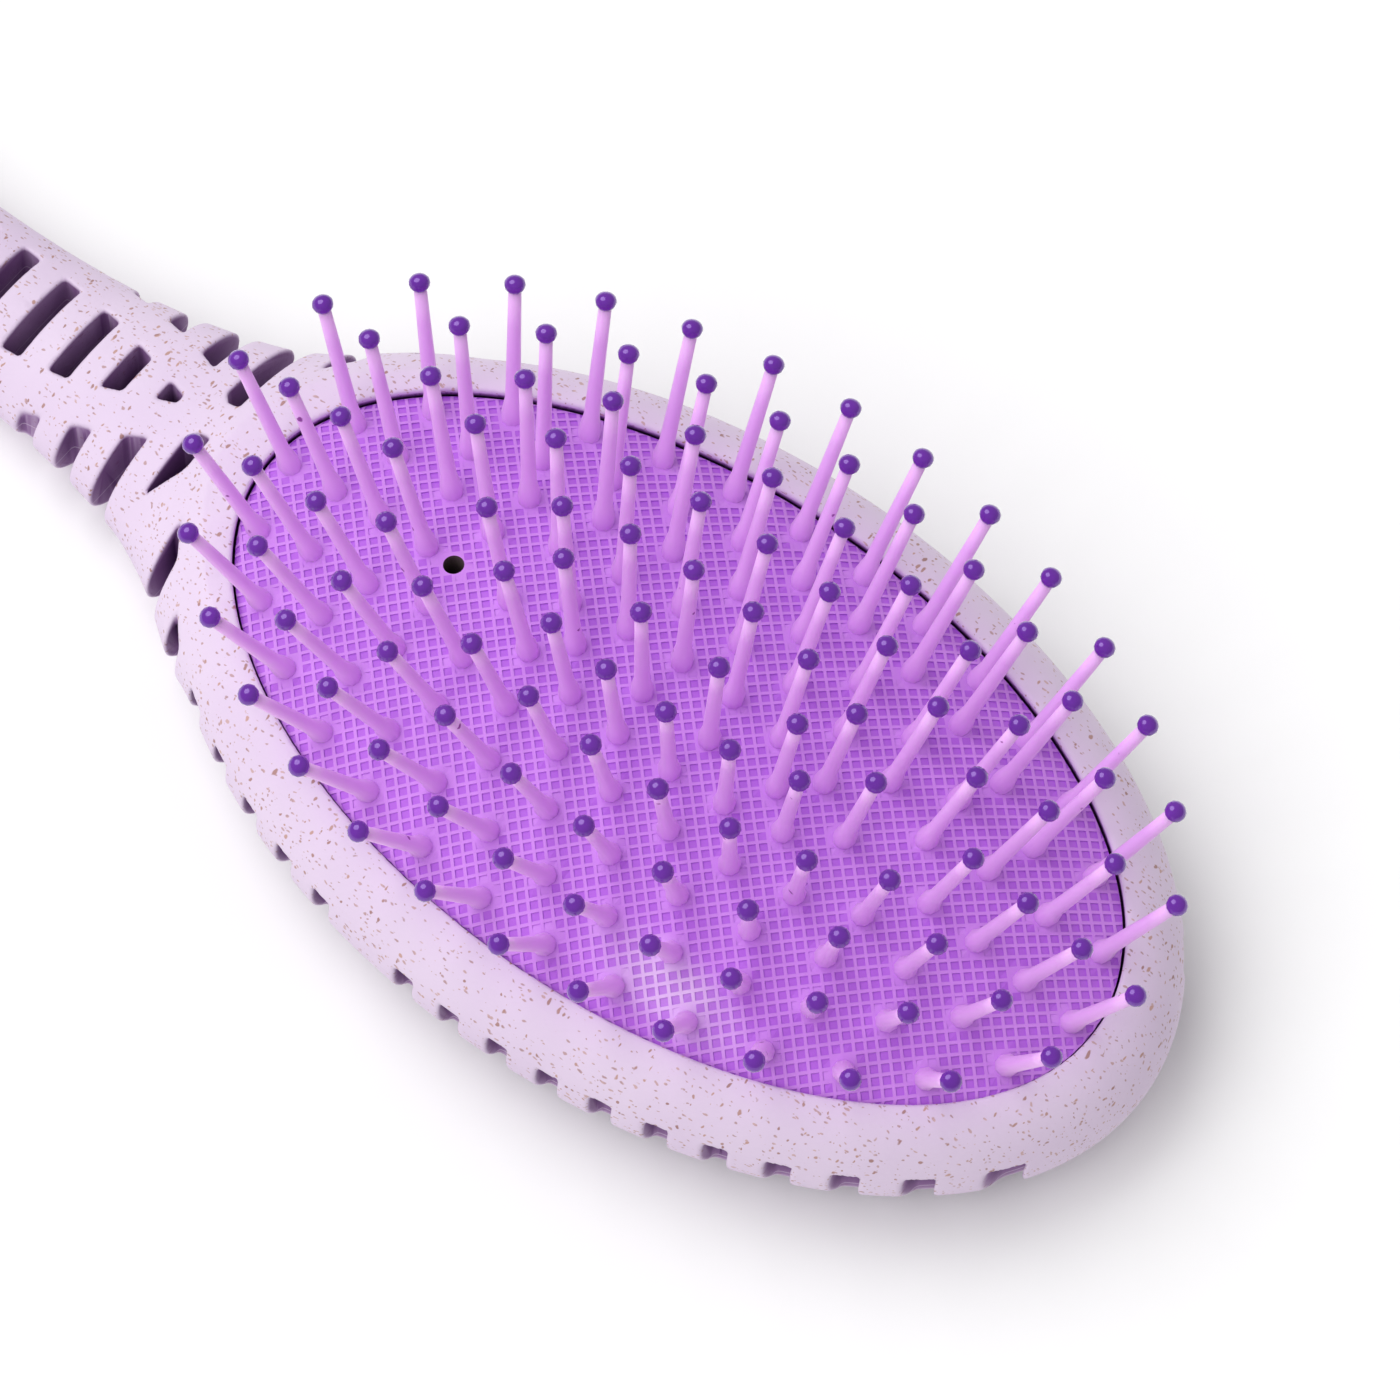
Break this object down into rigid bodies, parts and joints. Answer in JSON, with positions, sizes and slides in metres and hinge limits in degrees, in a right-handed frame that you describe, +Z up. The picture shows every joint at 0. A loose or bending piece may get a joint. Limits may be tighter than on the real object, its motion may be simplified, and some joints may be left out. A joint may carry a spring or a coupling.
{
  "type": "detangling brush",
  "caption": "Oval-headed detangling brush: slotted one-piece frame, crowned air cushion and ball-tipped pins that sink with the cushion when pressed.",
  "frame": {"origin": "on the flat of the back, under the middle of the oval opening", "axes": "+X along the brush to the tip of the head, the handle towards -X, +Z up through the pins"},
  "size_m": [0.2279, 0.0662, 0.0371],
  "materials": {
    "frame_plastic": "satin",
    "cushion_rubber": "matte",
    "pin_plastic": "satin",
    "ball_lacquer": "gloss"
  },
  "bodies": {
    "frame": {"brush_frame": "frame_plastic", "cushion_pad": "cushion_rubber"},
    "ring_1": {"ring_1_pins_front": "pin_plastic", "ring_1_balls_front": "ball_lacquer", "ring_1_pins_rear": "pin_plastic", "ring_1_balls_rear": "ball_lacquer"},
    "ring_2": {"ring_2_pins_front": "pin_plastic", "ring_2_balls_front": "ball_lacquer", "ring_2_pins_rear": "pin_plastic", "ring_2_balls_rear": "ball_lacquer"},
    "ring_3": {"ring_3_pins_front": "pin_plastic", "ring_3_balls_front": "ball_lacquer", "ring_3_pins_rear": "pin_plastic", "ring_3_balls_rear": "ball_lacquer"},
    "ring_4": {"ring_4_pins_front": "pin_plastic", "ring_4_balls_front": "ball_lacquer", "ring_4_pins_rear": "pin_plastic", "ring_4_balls_rear": "ball_lacquer"},
    "ring_5": {"ring_5_pins_front": "pin_plastic", "ring_5_balls_front": "ball_lacquer", "ring_5_pins_rear": "pin_plastic", "ring_5_balls_rear": "ball_lacquer"},
    "centre_row": {"centre_row_pins_front": "pin_plastic", "centre_row_balls_front": "ball_lacquer", "centre_row_pins_rear": "pin_plastic", "centre_row_balls_rear": "ball_lacquer"}
  },
  "joints": [
    {"name": "cushion_press", "type": "slide", "parent": "frame", "child": "centre_row", "axis": [0, 0, 1], "range_m": [-0.004, 0], "stiffness_N_per_m": 300, "deforming": ["cushion_pad"]},
    {"name": "ring_1_sink", "type": "slide", "parent": "frame", "child": "ring_1", "axis": [0, 0, 1], "range_m": [-0.00076, 0]},
    {"name": "ring_2_sink", "type": "slide", "parent": "frame", "child": "ring_2", "axis": [0, 0, 1], "range_m": [-0.00188, 0]},
    {"name": "ring_3_sink", "type": "slide", "parent": "frame", "child": "ring_3", "axis": [0, 0, 1], "range_m": [-0.0028, 0]},
    {"name": "ring_4_sink", "type": "slide", "parent": "frame", "child": "ring_4", "axis": [0, 0, 1], "range_m": [-0.00336, 0]},
    {"name": "ring_5_sink", "type": "slide", "parent": "frame", "child": "ring_5", "axis": [0, 0, 1], "range_m": [-0.0038, 0]}
  ],
  "couplings": [
    {"joint": "ring_1_sink", "follows": "cushion_press", "ratio": 0.19},
    {"joint": "ring_2_sink", "follows": "cushion_press", "ratio": 0.47},
    {"joint": "ring_3_sink", "follows": "cushion_press", "ratio": 0.7},
    {"joint": "ring_4_sink", "follows": "cushion_press", "ratio": 0.84},
    {"joint": "ring_5_sink", "follows": "cushion_press", "ratio": 0.95}
  ]
}
